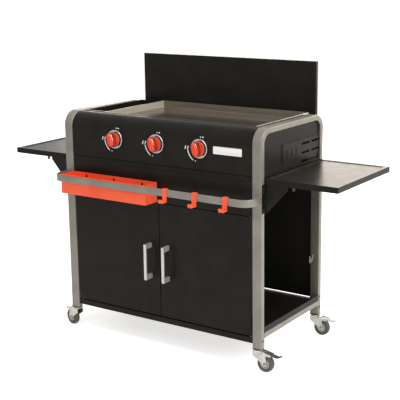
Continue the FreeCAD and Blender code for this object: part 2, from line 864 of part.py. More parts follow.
def shelf_gussets(sign):
    """The two triangular brackets below a side shelf, each with a flange on its leg."""
    pieces = []
    out = HALF + P.gusset_long
    base = SHELF_BASE - P.gusset_tall
    outline = [
        (HALF * sign, SHELF_BASE),
        (out * sign, SHELF_BASE),
        (out * sign, SHELF_BASE - P.gusset_toe),
        ((HALF + P.gusset_toe) * sign, base),
        (HALF * sign, base),
    ]
    legs = ((FRONT + P.gusset_thick, FRONT + P.tube_deep), (BACK - P.tube_deep, BACK - P.gusset_thick))
    for span, leg in zip(gusset_spans(), legs):
        flange = box(on_side(sign, HALF, HALF + P.gusset_thick), leg, (base, SHELF_BASE))
        pieces.append(fuse(plate(outline, span), flange))
    return group(*pieces)


def frame_screws():
    """The bolts through the gusset flanges and low in the legs, and the thumb screws below the shelves."""
    heads = []
    base = SHELF_BASE - P.gusset_tall
    legs = (FRONT + P.tube_deep / 2, BACK - P.tube_deep / 2)
    upper = (base + P.screw_edge, SHELF_BASE - P.screw_edge * 2, SHELF_BASE - P.screw_edge)
    lower = PLINTH_TOP - P.plinth_tall / 3
    for sign in (-1, 1):
        bolts = [(y, z, HALF + P.gusset_thick) for y in legs for z in upper]
        bolts += [(legs[0], lower, HALF), (legs[1], lower, HALF), (legs[1], FLOOR[1] + P.screw_edge, HALF)]
        for y, z, face in bolts:
            heads.append(rod("x", (y, z), P.screw_radius, on_side(sign, face, face + P.screw_thick)))
        for span, inward in zip(gusset_spans(), (1, -1)):
            y = (span[0] if inward > 0 else span[1]) + P.thumb_radius * inward
            spot = ((HALF + P.thumb_from_leg) * sign, y)
            heads.append(rod("z", spot, P.thumb_radius, (SHELF_BASE - P.thumb_long, SHELF_BASE)))
    return group(*heads)


def front_rail():
    """A flat bar bent to a U in plan, fixed to the front of both legs."""
    z = (RAIL_BASE, RAIL_TOP)
    bend_y = RAIL_FRONT + P.rail_bend
    straight = HALF - P.rail_bend
    pieces = [box((-straight, straight), (RAIL_FRONT, RAIL_FRONT + P.rail_thick), z)]
    for sign in (-1, 1):
        centre = (straight * sign, bend_y)
        ring = cut(rod("z", centre, P.rail_bend, z), rod("z", centre, P.rail_bend - P.rail_thick, z))
        pieces.append(common(ring, box(on_side(sign, straight, HALF), (RAIL_FRONT, bend_y), z)))
        pieces.append(box(on_side(sign, HALF - P.rail_thick, HALF), (bend_y, FRONT), z))
    return fuse(*pieces)


TOOL_TRAY_X = (-INNER, HOOK_X[0] - P.hook_tray_gap)
TOOL_TRAY_BASE = RAIL_TOP - P.tool_tray_tall
TOOL_TRAY_Y = (RAIL_FRONT + P.rail_thick + P.tool_tray_gap, FRONT - P.tool_tray_gap)


def tool_tray():
    """An open tray that hangs on the front rail by a folded lip, with keyhole slots in its rear wall."""
    x = TOOL_TRAY_X
    y = TOOL_TRAY_Y
    z = (TOOL_TRAY_BASE, RAIL_TOP + P.sheet)
    hollow = box((x[0] + P.sheet, x[1] - P.sheet), (y[0] + P.sheet, y[1] - P.sheet), (z[0] + P.sheet, z[1]))
    lip = box(x, (RAIL_FRONT, y[0] + P.sheet), (RAIL_TOP, RAIL_TOP + P.sheet))
    rear = (y[1] - P.sheet, y[1])
    pitch = (x[1] - x[0]) / KEYHOLES
    slots = []
    for i in range(KEYHOLES):
        centre = x[0] + pitch * (i + 0.5)
        round_z = z[1] - P.keyhole_drop
        slots.append(rod("y", (centre, round_z), P.keyhole_radius, rear))
        slot_x = around(centre, P.keyhole_slot * 2)
        slots.append(box(slot_x, rear, (round_z, round_z + P.keyhole_radius * 2)))
    return cut(fuse(cut(box(x, y, z), hollow), lip), *slots)


def hook(number):
    """A strip hook over the front rail, with a foot that points forward and turns up."""
    x = around(HOOK_X[number], P.hook_wide)
    front = RAIL_FRONT - P.hook_slack
    rear = RAIL_FRONT + P.rail_thick + P.hook_slack
    top = RAIL_TOP + P.hook_slack
    toe = front - P.hook_thick - P.hook_foot
    return fuse(
        box(x, (rear, rear + P.hook_thick), (RAIL_TOP - P.hook_tail, top + P.hook_thick)),
        box(x, (front - P.hook_thick, rear + P.hook_thick), (top, top + P.hook_thick)),
        box(x, (front - P.hook_thick, front), (HOOK_BASE, top + P.hook_thick)),
        box(x, (toe, front), (HOOK_BASE, HOOK_BASE + P.hook_thick)),
        box(x, (toe, toe + P.hook_thick), (HOOK_BASE, HOOK_BASE + P.hook_lip)),
    )


def door_span(sign):
    return on_side(sign, P.door_centre_gap / 2, INNER - P.door_edge_gap)


def door(sign):
    """A folded steel door, open at the back, with a hole for each hinge pin."""
    x = door_span(sign)
    y = (FACE, FACE + P.door_deep)
    z = (DOOR_BASE, DOOR_TOP)
    hollow = box((x[0] + P.sheet, x[1] - P.sheet), (y[0] + P.sheet, y[1]), (z[0] + P.sheet, z[1] - P.sheet))
    hole = rod("z", (HINGE_X * sign, HINGE_Y), P.hinge_pin, z)
    return cut(box(x, y, z), hollow, hole)


def door_pins(sign):
    spot = (HINGE_X * sign, HINGE_Y)
    upper = (DOOR_TOP - P.pin_reach, APRON_BASE + P.pin_reach)
    lower = (PLINTH_TOP - P.pin_reach, DOOR_BASE + P.pin_reach)
    return group(*[rod("z", spot, P.hinge_pin, span) for span in (upper, lower)])


def handle(sign):
    """A straight bar on two feet."""
    x = around(P.handle_from_centre * sign, P.handle_wide)
    front = FACE - P.handle_reach
    z = (HANDLE_BASE, HANDLE_BASE + P.handle_tall)
    return fuse(
        box(x, (front - P.handle_bar, front), z),
        box(x, (front, FACE), (z[0], z[0] + P.handle_foot)),
        box(x, (front, FACE), (z[1] - P.handle_foot, z[1])),
    )


def door_catch():
    y = (FACE + P.door_deep + P.catch_gap, FACE + P.apron_ledge)
    return box(around(0, P.catch_wide), y, (APRON_BASE - P.catch_tall, APRON_BASE))


def caster_spot(place):
    """The swivel axis of a caster, below the middle of its leg."""
    rear, side = place.split("_")
    x = (HALF - P.tube_wide / 2) * (1 if side == "right" else -1)
    y = BACK - P.tube_deep / 2 if rear == "rear" else FRONT + P.tube_deep / 2
    return x, y


def leg_plug(place):
    """A plastic plug in the end of a leg, bored for the caster's stem."""
    x, y = caster_spot(place)
    base = P.leg_base - P.plug_flange
    slip = (P.tube_wall + P.slip_clearance) * 2
    cap = box(around(x, P.tube_wide), around(y, P.tube_deep), (base, P.leg_base))
    top = P.leg_base + P.plug_deep
    core = box(around(x, P.tube_wide - slip), around(y, P.tube_deep - slip), (P.leg_base, top))
    bore = rod("z", (x, y), P.caster_stem + P.pin_clearance, (base, top))
    return cut(fuse(cap, core), bore)


def axle_holes(half):
    """Bores across the fork for its axle and for the brake pedal's pin."""
    span = (-half, half)
    axle = rod("y", (P.caster_trail, P.wheel_radius), P.axle_radius, span)
    pin = rod("y", (P.pedal_pivot, FORK_UNDER - P.pedal_pivot_drop), P.pedal_pin + P.pin_clearance, span)
    return axle, pin


def caster_fork(place):
    """The swivelling fork with its stem and, as a second solid, its axle."""
    half = P.fork_gap / 2 + P.fork_plate
    trail = P.caster_trail
    fender = FORK_UNDER - P.fender_drop
    outline = [
        (-P.fork_nose, FORK_UNDER),
        (trail, FORK_UNDER),
        (P.fender_reach, fender),
        (P.fender_reach, fender - P.fender_tall),
        (trail + P.fork_boss / 2, fender - P.fender_tall),
        (trail + P.fork_boss, P.wheel_radius),
        (trail - P.fork_boss, P.wheel_radius),
        (-P.fork_nose, FORK_UNDER - P.fork_nose),
    ]
    centre = (trail, P.wheel_radius)
    cheeks = []
    for span in ((-half, -P.fork_gap / 2), (P.fork_gap / 2, half)):
        cheeks.append(plate(outline, span))
        cheeks.append(rod("y", centre, P.fork_boss, span))
    solid = fuse(
        rod("z", (0, 0), P.caster_stem, (FORK_TOP, FORK_TOP + P.stem_long)),
        rod("z", (0, 0), P.race_radius, (FORK_ROOF, FORK_TOP)),
        box((-P.fork_nose, trail), (-half, half), (FORK_UNDER, FORK_ROOF)),
        *cheeks,
    )
    axle = fuse(
        rod("y", centre, P.axle_radius, (-half, half)),
        rod("y", centre, P.axle_head, (-half - P.axle_head_thick, -half)),
        rod("y", centre, P.axle_head, (half, half + P.axle_head_thick)),
    )
    both = group(cut(solid, *axle_holes(half)), axle)
    return turned(both, CASTER_TURN[place], *caster_spot(place))


def wheel_hub(place):
    centre = (P.caster_trail, P.wheel_radius)
    wide = around(0, P.hub_wide)
    bore = rod("y", centre, P.axle_radius + P.pin_clearance, wide)
    hub = cut(rod("y", centre, P.hub_radius, wide), bore)
    return turned(hub, CASTER_TURN[place], *caster_spot(place))


def tyre(place):
    centre = (P.caster_trail, P.wheel_radius)
    wide = around(0, P.tyre_wide)
    ring = cut(rod("y", centre, P.wheel_radius, wide), rod("y", centre, P.hub_radius, wide))
    ring = round_edges(ring, P.tyre_round, lambda edge: is_ring(edge, P.wheel_radius.value))
    return turned(ring, CASTER_TURN[place], *caster_spot(place))


def brake_pedal(place):
    """A foot lever on a cross pin in the fork, with a shoe above the tyre and a turned-up toe."""
    pin_z = FORK_UNDER - P.pedal_pivot_drop
    half = P.fork_gap / 2 + P.fork_plate
    y = around(0, P.pedal_wide)
    heel = P.pedal_pivot - P.pedal_pin * 2
    bend_x = P.pedal_long - P.pedal_tip * 2
    top = pin_z + P.pedal_thick / 2
    under = pin_z - P.pedal_thick / 2
    outline = [
        (heel, under),
        (P.caster_trail - P.pedal_tip / 2, under),
        (P.caster_trail - P.pedal_tip / 2, P.wheel_radius * 2 + P.shoe_gap),
        (P.caster_trail + P.pedal_tip / 2, P.wheel_radius * 2 + P.shoe_gap),
        (bend_x, under - P.pedal_fall),
        (P.pedal_long, under - P.pedal_fall + P.pedal_rise),
        (P.pedal_long, top - P.pedal_fall + P.pedal_rise),
        (bend_x, top - P.pedal_fall),
        (P.caster_trail + P.pedal_tip, top),
        (heel, top),
    ]
    pin = rod("y", (P.pedal_pivot, pin_z), P.pedal_pin, (-half, half))
    pedal = fuse(plate(outline, y), pin)
    return turned(pedal, CASTER_TURN[place], *caster_spot(place))


def build():
    node("side_frame_left", side_frame(-1))
    node("side_frame_right", side_frame(1))
    node("lower_side_rails", lower_side_rails())
    node("front_plinth", front_plinth())
    rear = BACK - P.front_set_back
    node("rear_crossbar", crossbar((rear - P.rail_tube, rear), (PLINTH_BASE, PLINTH_TOP)))
    node("base_shelf", base_shelf())
    node("back_panel", back_panel())
    node("front_apron", front_apron())
    node("front_crossbar", crossbar((FACE, FACE + P.rail_tube), (CROSSBAR_BASE, PANEL_BASE)))
    node("control_panel", control_panel())
    node("vent_panel_left", vent_panel(-1))
    node("vent_panel_right", vent_panel(1))
    node("firebox", firebox())
    node("griddle_plate", griddle_plate())
    node("grease_tray", grease_tray())
    node("gas_burners", group(*[burner(x) for x in KNOB_X.values()]))
    node("gas_manifold", gas_manifold())
    node("gas_valves", group(*[valve(x) for x in KNOB_X.values()]))
    node("spark_igniters", group(*[igniter(x) for x in KNOB_X.values()]))
    node("knob_bezels", group(*[bezel(x) for x in KNOB_X.values()]))
    for place in BURNERS:
        node(f"valve_stem_{place}", valve_stem(KNOB_X[place]))
        node(f"knob_{place}", knob(KNOB_X[place]))
    node("lid", lid())
    node("lid_hinges", lid_hinges())
    for side, sign in (("left", -1), ("right", 1)):
        node(f"side_shelf_{side}", side_shelf(sign))
        node(f"shelf_gussets_{side}", shelf_gussets(sign))
        node(f"door_{side}", door(sign))
        node(f"door_pins_{side}", door_pins(sign))
        node(f"door_handle_{side}", handle(sign))
    node("frame_screws", frame_screws())
    node("door_catch", door_catch())
    node("front_rail", front_rail())
    node("tool_tray", tool_tray())
    for number in range(HOOKS):
        node(f"tool_hook_{number + 1}", hook(number))
    node("leg_plugs", group(*[leg_plug(place) for place in CASTER_TURN]))
    for place in CASTER_TURN:
        node(f"caster_fork_{place}", caster_fork(place))
        node(f"wheel_hub_{place}", wheel_hub(place))
        node(f"tyre_{place}", tyre(place))
    for place in ("front_right", "rear_right"):
        node(f"brake_pedal_{place}", brake_pedal(place))


def check():
    """Stops at the first object that failed to build."""
    for thing in doc.Objects:
        if "Invalid" in thing.State or "Error" in thing.State:
            raise RuntimeError(f"{thing.Name} ({thing.Label}) failed: {thing.State}")
    for label, thing in NODES.items():
        if thing.Shape.isNull() or not thing.Shape.isValid():
            raise RuntimeError(f"{label} has no valid shape")


def write():
    os.makedirs("parts", exist_ok=True)
    for label, thing in NODES.items():
        thing.Shape.exportStep(f"parts/{label}.step")
        print(label, len(thing.Shape.Solids), "solids", round(thing.Shape.Volume / 1000, 1), "cm3")


build()
doc.recompute()
check()
write()
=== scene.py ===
"""Looks for the flat top gas barbecue: rounded pieces, materials, dial marks, floor, light and camera.

Sizes are written in millimetres and turned into metres by MM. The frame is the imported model's own.
"""

import json
import math

import bmesh
import bpy
from mathutils import Matrix, Vector


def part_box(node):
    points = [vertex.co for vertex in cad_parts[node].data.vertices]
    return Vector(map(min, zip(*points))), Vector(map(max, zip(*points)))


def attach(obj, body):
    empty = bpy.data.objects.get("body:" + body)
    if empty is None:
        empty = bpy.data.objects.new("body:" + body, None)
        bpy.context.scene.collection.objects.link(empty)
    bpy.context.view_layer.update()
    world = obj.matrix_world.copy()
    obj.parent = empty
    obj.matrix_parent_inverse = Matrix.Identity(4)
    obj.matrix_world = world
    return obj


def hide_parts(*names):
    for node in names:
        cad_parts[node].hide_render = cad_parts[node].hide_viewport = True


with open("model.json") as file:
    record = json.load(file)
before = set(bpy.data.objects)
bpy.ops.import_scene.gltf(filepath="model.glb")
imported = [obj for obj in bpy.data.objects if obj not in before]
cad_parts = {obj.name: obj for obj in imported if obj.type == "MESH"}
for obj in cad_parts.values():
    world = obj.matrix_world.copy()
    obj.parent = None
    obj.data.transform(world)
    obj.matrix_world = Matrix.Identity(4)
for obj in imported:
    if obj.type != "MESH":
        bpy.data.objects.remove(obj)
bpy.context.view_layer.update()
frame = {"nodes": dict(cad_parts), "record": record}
NODES = frame["nodes"]
BODIES = frame["record"]["behaviour"]["bodies"]
BODY_OF = {node: body for body, members in BODIES.items() for node in members}

MM = 0.001
X_AXIS = Vector((1, 0, 0))
Z_AXIS = Vector((0, 0, 1))
QUARTER_TURN = math.radians(90)
SMOOTH_ANGLE = math.radians(32)
FLAT_ANGLE = math.radians(0.5)
WELD = 0.002 * MM
BURNERS = ("left", "middle", "right")

# Sizes that the boxes of the nodes don't give

# frame, rail and crossbar
TUBE_WIDE = 40 * MM
TUBE_DEEP = 22 * MM
TUBE_EDGE = 3.5 * MM
FRAME_BEND = 60 * MM
RAIL_THICK = 8 * MM
RAIL_BEND = 45 * MM
RAIL_EDGE = 2.5 * MM
CROSSBAR_ROUND = 5 * MM
CROSSBAR_EDGE = 1 * MM
CROSSBAR_STEPS = 6

# knobs and their rings, with outlines in mm: in from the edge, and back from the front
KNOB_LEAN = math.radians(16)
KNOB_BORE = 4.1 * MM
KNOB_DISC = 11 * MM
KNOB_DISH = 5.1 * MM
KNOB_RIM = ((0, 1.2), (0.9, 0), (2.2, 0.6), (5, 4.5))
COLLAR_WALL = 1.5 * MM
COLLAR_LAP = 0.2 * MM
COLLAR_BACK = 1.6 * MM
COLLAR_EDGE = (0.6 * MM, 0.8 * MM)
NECK_SINK = 0.2 * MM
BEZEL_HOLE = 9 * MM
BEZEL_FLOOR = 1.2 * MM
BEZEL_RIM = ((0, 2.4), (0.8, 0.6), (2.2, 0), (3.2, 0), (4, 0.8))
# ovals of neck and grip: share of the way from foot to front, width and length in mm
NECK_OVALS = ((0.0, 24, 50), (0.1, 17, 48), (0.4, 14.5, 46), (0.62, 15, 46))
GRIP_OVALS = (
    (0.56, 15, 46),
    (0.64, 21, 52),
    (0.8, 24, 54),
    (0.93, 23, 53),
    (0.985, 20, 49),
    (1.0, 15, 42),
)

# casters: turn in degrees, and outlines in mm
CASTER_TURN = {"front_left": 168, "front_right": 2, "rear_left": 10, "rear_right": 1}
TYRE_HALF = 10.5 * MM
# out from the hub or down from the tread, and in from the side
TYRE_AT_HUB = ((0, 0), (2, 0), (2.8, 1.6))
TYRE_AT_TREAD = ((6, 1.6), (5, 0), (1.6, 1.8), (0.3, 4.5), (0, 7))
HUB_HALF = 12 * MM
# out from the axle's middle or down from the rim, and in from the side
HUB_AT_AXLE = ((4.1, 0), (7, 0), (8, 2.5))
HUB_AT_RIM = ((4, 4), (2.5, 1.8), (0, 1.8))
NUT_SEAT = 17 * MM
NUT_SIDES = 6
# out from the axle's middle, and away from the seat
NUT_OUTLINE = ((1.5, 0), (5.6, 0), (5.6, 0.8), (4.6, 0.9), (4.2, 2.6), (1.5, 2.2))

# leg clip, with its outline in mm: right of the leg's left edge, and above the clip's base
CLIP_BASE = 302.5 * MM
CLIP_THICK = 2.5 * MM
CLIP_EDGE = 0.5 * MM
CLIP_OUTLINE = (
    (-4, 2),
    (1, 0),
    (7, 5),
    (11, 15),
    (15, 38),
    (11, 38),
    (8.5, 23),
    (5, 19),
    (1.5, 22),
    (0.5, 29.5),
    (-4, 29.5),
)

# ledge right of the griddle
LEDGE_GAP = 3.5 * MM
LEDGE_THICK = 1.6 * MM
LEDGE_EDGE = 0.5 * MM
LEDGE_DROP = 3 * MM

# dial marks, in mm and degrees about the knob's middle
PRINT_THICK = 0.2 * MM
PRINT_WIDE = 4.2 * MM
DIAL_RADIUS = 58
DIAL_START = 190
DIAL_SWEEP = 46
DIAL_STEPS = 20
DIAL_STROKES = {
    "dot_low": ((-24.5, -50), (-20.5, -50)),
    "stroke_out": ((-69.5, -8), (-65.5, 5)),
    "stroke_in": ((-58, -8), (-54, 5)),
    "dot_top": ((0, 43), (4.5, 43)),
    "dash_top": ((9, 43), (16, 43)),
}

# bare plate, with its rings: in from the edge in mm, and share of the thickness
PLATE_WIDE = 126 * MM
PLATE_TALL = 29 * MM
PLATE_THICK = 1.2 * MM
PLATE_CORNER = 3 * MM
PLATE_X = 323 * MM
PLATE_Z = 830.5 * MM
PLATE_RINGS = ((0, 0), (0, 0.8), (0.4, 1), (2, 1), (2.4, 0.6))


def low_high(node):
    """The lowest and the highest corner of a node's box."""
    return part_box(node)


def middle(node):
    """The middle of a node's box."""
    low, high = low_high(node)
    return (low + high) / 2


# Materials


class Surface:
    """A material with mottled colour, uneven roughness and a fine bump, in object coordinates."""

    EVEN = (1, 1, 1)
    # the parts of the noise's range that the colours and the roughness are spread over
    COLOUR_RANGE = (0.35, 0.65)
    ROUGH_RANGE = (0.3, 0.7)
    NOISE_DETAIL = 4.0
    BUMP_DETAIL = 2.0
    BUMP_STRENGTH = 0.6

    def __init__(self, name, dark, light, rough, metallic=0.0, specular=0.5):
        self.material = bpy.data.materials.new(name)
        self.material.use_nodes = True
        self.tree = self.material.node_tree
        self.shader = self.tree.nodes["Principled BSDF"]
        self.shader.inputs["Metallic"].default_value = metallic
        self.shader.inputs["Specular IOR Level"].default_value = specular
        self.coords = self.tree.nodes.new("ShaderNodeTexCoord")
        self.dark = dark
        self.light = light
        self.rough = rough

    def noise(self, scale, stretch, detail=NOISE_DETAIL):
        mapping = self.tree.nodes.new("ShaderNodeMapping")
        mapping.inputs["Scale"].default_value = stretch
        self.tree.links.new(self.coords.outputs["Object"], mapping.inputs["Vector"])
        noise = self.tree.nodes.new("ShaderNodeTexNoise")
        noise.inputs["Scale"].default_value = scale
        noise.inputs["Detail"].default_value = detail
        self.tree.links.new(mapping.outputs["Vector"], noise.inputs["Vector"])
        return noise.outputs["Fac"]

    def colour(self, scale, stretch=EVEN):
        ramp = self.tree.nodes.new("ShaderNodeValToRGB")
        first, last = ramp.color_ramp.elements
        first.position, last.position = self.COLOUR_RANGE
        first.color = (*self.dark, 1)
        last.color = (*self.light, 1)
        self.tree.links.new(self.noise(scale, stretch), ramp.inputs["Fac"])
        self.tree.links.new(ramp.outputs["Color"], self.shader.inputs["Base Color"])
        return self

    def roughness(self, scale, stretch=EVEN):
        spread = self.tree.nodes.new("ShaderNodeMapRange")
        spread.inputs["From Min"].default_value = self.ROUGH_RANGE[0]
        spread.inputs["From Max"].default_value = self.ROUGH_RANGE[1]
        spread.inputs["To Min"].default_value = self.rough[0]
        spread.inputs["To Max"].default_value = self.rough[1]
        self.tree.links.new(self.noise(scale, stretch), spread.inputs["Value"])
        self.tree.links.new(spread.outputs["Result"], self.shader.inputs["Roughness"])
        return self

    def bump(self, scale, depth, stretch=EVEN):
        """Adds the bump, the last step, and gives the finished material."""
        bump = self.tree.nodes.new("ShaderNodeBump")
        bump.inputs["Strength"].default_value = self.BUMP_STRENGTH
        bump.inputs["Distance"].default_value = depth
        self.tree.links.new(self.noise(scale, stretch, self.BUMP_DETAIL), bump.inputs["Height"])
        self.tree.links.new(bump.outputs["Normal"], self.shader.inputs["Normal"])
        return self.material


# stretches that draw the noise out into lines
ALONG_X = (0.03, 1, 1)
ALONG_Z = (1, 1, 0.03)


def powder_coat(name, dark, light, rough, metallic=0.0, specular=0.5):
    """Sprayed paint with the slight orange peel of a powder coat."""
    surface = Surface(name, dark, light, rough, metallic, specular)
    return surface.colour(scale=14).roughness(scale=30).bump(scale=900, depth=0.012 * MM)


def brushed(name, dark, light, rough, stretch):
    """Bare metal with fine lines along one axis."""
    surface = Surface(name, dark, light, rough, metallic=1.0)
    surface.colour(scale=60, stretch=stretch).roughness(scale=90, stretch=stretch)
    return surface.bump(scale=700, depth=0.03 * MM, stretch=stretch)


def plated(name, dark, light, rough, metallic):
    """A plated finish, cloudy and almost smooth."""
    surface = Surface(name, dark, light, rough, metallic)
    return surface.colour(scale=40).roughness(scale=70).bump(scale=400, depth=0.02 * MM)


def moulded(name, dark, light, rough, specular=0.5):
    """Plastic, rubber or print with a fine grain."""
    surface = Surface(name, dark, light, rough, specular=specular)
    return surface.colour(scale=40).roughness(scale=60).bump(scale=1500, depth=0.02 * MM)


def griddle_steel():
    """Oiled steel, dark and rolled along X on the plate, with painted light that makes the end walls paler.
    """
    # painted highlight: the end walls get this paler colour in place of the light that falls on them
    painted_light_end_wall = (0.8, 0.735, 0.62, 1)
    surface = Surface(
        "griddle_steel", (0.125, 0.108, 0.084), (0.185, 0.161, 0.128), (0.09, 0.16), metallic=0.6
    )
    surface.colour(scale=70, stretch=ALONG_X).roughness(scale=25)
    plate = surface.shader.inputs["Base Color"].links[0].from_socket
    # the painted highlight is mixed in as far as a face turns towards X, which picks out the end walls
    parts = surface.tree.nodes.new("ShaderNodeSeparateXYZ")
    sideways = surface.tree.nodes.new("ShaderNodeMath")
    sideways.operation = "ABSOLUTE"
    blend = surface.tree.nodes.new("ShaderNodeMix")
    blend.data_type = "RGBA"
    blend.inputs["B"].default_value = painted_light_end_wall
    surface.tree.links.new(surface.coords.outputs["Normal"], parts.inputs[0])
    surface.tree.links.new(parts.outputs["X"], sideways.inputs[0])
    surface.tree.links.new(sideways.outputs[0], blend.inputs["Factor"])
    surface.tree.links.new(plate, blend.inputs["A"])
    surface.tree.links.new(blend.outputs["Result"], surface.shader.inputs["Base Color"])
    return surface.bump(scale=700, depth=0.004 * MM, stretch=ALONG_X)


BLACK = powder_coat(
    "black_powder_coat", (0.0098, 0.0088, 0.007), (0.0135, 0.0123, 0.0098), (0.28, 0.33), specular=0.09
)
SILVER = powder_coat(
    "silver_paint", (0.185, 0.174, 0.149), (0.23, 0.217, 0.188), (0.34, 0.42), metallic=0.3, specular=0.6
)
ORANGE = powder_coat("orange_paint", (0.93, 0.1, 0.033), (0.98, 0.125, 0.045), (0.3, 0.4), specular=0.35)
ORANGE_PLASTIC = moulded("orange_plastic", (0.8, 0.062, 0.024), (0.87, 0.08, 0.032), (0.18, 0.26), 0.25)
GRIDDLE = griddle_steel()
STEEL = brushed("satin_steel", (0.58, 0.56, 0.52), (0.72, 0.7, 0.65), (0.28, 0.38), ALONG_Z)
ZINC = plated("zinc_plate", (0.39, 0.38, 0.347), (0.52, 0.507, 0.468), (0.24, 0.36), 0.9)
CHROME = plated("chrome", (0.46, 0.45, 0.43), (0.56, 0.55, 0.525), (0.1, 0.18), 1.0)
SATIN_SILVER = powder_coat(
    "satin_silver", (0.5, 0.49, 0.46), (0.58, 0.57, 0.54), (0.32, 0.42), metallic=0.5
)
DARK_STEEL = brushed("dark_steel", (0.2, 0.2, 0.19), (0.3, 0.3, 0.28), (0.3, 0.4), ALONG_Z)
HEAT_PAINT = powder_coat("heat_paint", (0.016, 0.015, 0.013), (0.024, 0.022, 0.02), (0.5, 0.6), specular=0.2)
DULL_BLACK = powder_coat(
    "dull_black", (0.0155, 0.0145, 0.0125), (0.0185, 0.0172, 0.0148), (0.45, 0.5), specular=0.12
)
BRASS = brushed("brass", (0.6, 0.42, 0.16), (0.72, 0.52, 0.22), (0.3, 0.4), ALONG_Z)
CERAMIC = moulded("ceramic", (0.8, 0.78, 0.72), (0.88, 0.86, 0.8), (0.3, 0.4))
BLACK_PLASTIC = moulded("black_plastic", (0.02, 0.02, 0.019), (0.03, 0.03, 0.028), (0.42, 0.55))
PEDAL_GREY = moulded("pedal_grey", (0.05, 0.052, 0.048), (0.08, 0.082, 0.075), (0.38, 0.5))
HUB_GREY = moulded("hub_grey", (0.35, 0.36, 0.335), (0.45, 0.46, 0.43), (0.42, 0.52))
RUBBER = moulded("grey_rubber", (0.08, 0.088, 0.074), (0.115, 0.124, 0.106), (0.6, 0.75), 0.3)
PALE_PLASTIC = moulded("pale_plastic", (0.4, 0.4, 0.38), (0.47, 0.47, 0.445), (0.4, 0.5))
PRINT = moulded("white_print", (0.75, 0.75, 0.73), (0.85, 0.85, 0.83), (0.5, 0.6))
BLACK_OXIDE = moulded("black_oxide", (0.012, 0.012, 0.011), (0.02, 0.02, 0.018), (0.35, 0.45))
PLATE = brushed("bare_plate", (0.6, 0.59, 0.57), (0.74, 0.73, 0.71), (0.3, 0.4), ALONG_X)


# Meshes


def put(name, mesh, body, material, node=None):
    """Links a piece, lets it ride on its body and stand for its node."""
    piece = bpy.data.objects.new(name, mesh)
    bpy.context.scene.collection.objects.link(piece)
    mesh.materials.clear()
    mesh.materials.append(material)
    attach(piece, body)
    if node:
        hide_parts(node)
    return piece


def finish_mesh(name, build):
    """Turns a bmesh into a mesh with smooth curves and sharp edges."""
    bmesh.ops.recalc_face_normals(build, faces=build.faces)
    mesh = bpy.data.meshes.new(name)
    build.to_mesh(mesh)
    build.free()
    mesh.polygons.foreach_set("use_smooth", [True] * len(mesh.polygons))
    mesh.set_sharp_from_angle(angle=SMOOTH_ANGLE)
    return mesh


def rounded(node, material, edge, segments):
    """The CAD node with its edges rounded."""
    name = f"{node}_piece"
    build = bmesh.new()
    build.from_mesh(NODES[node].data)
    bmesh.ops.remove_doubles(build, verts=build.verts, dist=WELD)
    bmesh.ops.dissolve_limit(build, angle_limit=FLAT_ANGLE, verts=build.verts, edges=build.edges)
    soften(put(name, finish_mesh(name, build), BODY_OF[node], material, node), edge, segments)


def soften(piece, edge, segments):
    """Rounds the sharp edges of a piece."""
    bevel = piece.modifiers.new("edges", "BEVEL")
    bevel.width = edge
    bevel.segments = segments
    bevel.limit_method = "ANGLE"
    bevel.angle_limit = SMOOTH_ANGLE
    bevel.harden_normals = True


def rounded_rectangle(wide, tall, radius, steps=5):
    """The corners of a rectangle with round corners, about its middle."""
    points = []
    for quarter in range(4):
        sign_u = 1 if quarter in (0, 3) else -1
        sign_v = 1 if quarter in (0, 1) else -1
        centre_u = sign_u * (wide / 2 - radius)
        centre_v = sign_v * (tall / 2 - radius)
        for step in range(steps + 1):
            angle = QUARTER_TURN * (quarter + step / steps)
            points.append((centre_u + radius * math.cos(angle), centre_v + radius * math.sin(angle)))
    return points


def oval(wide, tall, steps=32):
    """The points of an oval about its middle."""
    turns = [2 * math.pi * i / steps for i in range(steps)]
    return [(wide / 2 * math.cos(turn), tall / 2 * math.sin(turn)) for turn in turns]


def arc(centre, start, end, steps=14):
    """Points from start to end about a centre, a quarter turn apart."""
    first = start - centre
    last = end - centre
    points = []
    for i in range(steps + 1):
        angle = QUARTER_TURN * i / steps
        points.append(centre + first * math.cos(angle) + last * math.sin(angle))
    return points


def band(build, first, second):
    """Faces between two rings of points."""
    count = len(first)
    for k in range(count):
        build.faces.new((first[k], first[(k + 1) % count], second[(k + 1) % count], second[k]))


def skin(build, rings):
    """Joins rings of points into one closed skin."""
    for first, second in zip(rings, rings[1:]):
        band(build, first, second)
    build.faces.new(rings[0])
    build.faces.new(list(reversed(rings[-1])))


def sweep(name, path, side, section):
    """A bar with one section along a flat path. side is the direction square to the path's plane."""
    build = bmesh.new()
    rings = []
    for i, point in enumerate(path):
        before = path[max(i - 1, 0)]
        after = path[min(i + 1, len(path) - 1)]
        across = side.cross((after - before).normalized()).normalized()
        rings.append([build.verts.new(point + side * u + across * v) for u, v in section])
    skin(build, rings)
    return finish_mesh(name, build)


def lathe(name, profile, place, steps=64):
    """Turns a closed outline of (radius, along) about the local Y axis, then sets it in place."""
    build = bmesh.new()
    rings = []
    for i in range(steps):
        angle = 2 * math.pi * i / steps
        rings.append([build.verts.new((r * math.cos(angle), a, r * math.sin(angle))) for r, a in profile])
    for first, second in zip(rings, rings[1:] + rings[:1]):
        band(build, first, second)
    mesh = finish_mesh(name, build)
    mesh.transform(place)
    return mesh


def mirrored(outline):
    """Half an outline of (radius, along), and the same half on the other side."""
    return outline + [(radius, -along) for radius, along in reversed(outline)]


# Pieces


